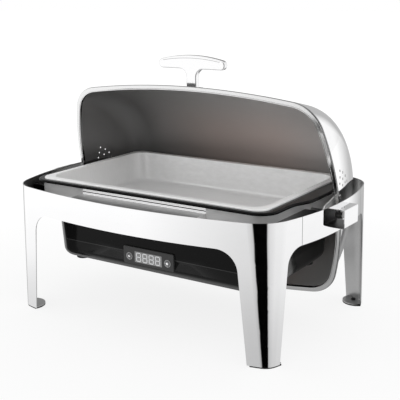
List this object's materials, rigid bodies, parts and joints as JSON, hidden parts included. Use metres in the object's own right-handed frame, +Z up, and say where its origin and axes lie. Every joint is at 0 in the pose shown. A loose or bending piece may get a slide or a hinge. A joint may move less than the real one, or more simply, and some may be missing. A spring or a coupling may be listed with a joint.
{
  "type": "chafing dish food warmer",
  "caption": "Electric roll-top chafing dish: bowed stainless stand on tapered legs, black heated water pan, lift-out food pan and a half-barrel cover that rolls back on end pivots.",
  "frame": {"origin": "on the floor, under the centre of the stand", "axes": "+X along the long side to the right seen from the front, +Y from the control panel side to the back, +Z up"},
  "size_m": [0.712, 0.466, 0.519],
  "materials": {
    "polished_steel": "mirror-polished stainless steel sheet",
    "cover_steel": "stainless steel, mirror-polished outside and satin inside",
    "handle_steel": "polished cast stainless steel",
    "brushed_steel": "brushed stainless steel",
    "pan_steel": "satin pressed stainless steel",
    "fastener_steel": "plain steel fasteners",
    "black_enamel": "gloss black coated sheet",
    "rubber": "black rubber",
    "bush_plastic": "natural nylon",
    "panel_grey": "dark grey moulded plastic",
    "window_tint": "smoked clear plastic",
    "display_black": "black display block with light digits",
    "button_plastic": "grey moulded plastic",
    "board_green": "glass-fibre circuit board",
    "switch_black": "black moulded plastic",
    "element_steel": "heat-tinted steel sheath",
    "shield_aluminium": "bright aluminium sheet",
    "cutout_metal": "plated cap",
    "ceramic": "glazed terminal ceramic",
    "wire_insulation": "heat-proof wire sleeve"
  },
  "bodies": {
    "stand": {"front_frame": "polished_steel", "rear_frame": "polished_steel", "end_band_left": "polished_steel", "end_band_right": "polished_steel", "foot_plates": "polished_steel", "foot_pads": "rubber", "foot_screws": "rubber", "hinge_box_right": "polished_steel", "hinge_box_left": "polished_steel", "pivot_bolts": "fastener_steel", "pivot_washers": "fastener_steel", "pivot_nuts": "fastener_steel", "pivot_sleeves": "fastener_steel", "carrier_ring": "brushed_steel", "front_ledge": "brushed_steel", "side_bracket_right": "black_enamel", "side_bracket_left": "black_enamel", "water_pan": "black_enamel", "heater_casing": "black_enamel", "casing_feet": "rubber", "mounting_studs": "fastener_steel", "stud_nuts": "fastener_steel", "base_cover": "black_enamel", "base_screws": "fastener_steel", "heating_element": "element_steel", "heat_shield": "shield_aluminium", "shield_studs": "fastener_steel", "shield_nuts": "fastener_steel", "thermal_cutout": "cutout_metal", "temperature_probe": "cutout_metal", "panel_bezel": "panel_grey", "display_window": "window_tint", "display_module": "display_black", "control_board": "board_green", "board_screws": "fastener_steel", "key_switches": "switch_black", "power_inlet": "switch_black", "inlet_screws": "fastener_steel", "terminal_block": "ceramic", "wiring": "wire_insulation"},
    "cover": {"cover_shell": "cover_steel", "hinge_arm_right": "brushed_steel", "hinge_arm_left": "brushed_steel", "arm_rivets": "fastener_steel", "arm_spacers": "fastener_steel", "arm_bushes": "bush_plastic", "cover_handle": "handle_steel", "handle_foot": "handle_steel", "handle_washers": "fastener_steel", "handle_screws": "fastener_steel"},
    "food_pan": {"food_pan": "pan_steel"},
    "minus_key": {"button_minus": "button_plastic"},
    "plus_key": {"button_plus": "button_plastic"}
  },
  "joints": [
    {"name": "cover_hinge", "type": "hinge", "parent": "stand", "child": "cover", "pos_m": [0, 0, 0.241], "axis": [-1, 0, 0], "range_deg": [-77.2, 75]},
    {"name": "food_pan_lift", "type": "slide", "parent": "stand", "child": "food_pan", "axis": [0, 0, 1], "range_m": [0, 0.06]},
    {"name": "minus_press", "type": "slide", "parent": "stand", "child": "minus_key", "axis": [0, 1, 0], "range_m": [0, 0.0008], "stiffness_N_per_m": 400},
    {"name": "plus_press", "type": "slide", "parent": "stand", "child": "plus_key", "axis": [0, 1, 0], "range_m": [0, 0.0008], "stiffness_N_per_m": 400}
  ]
}
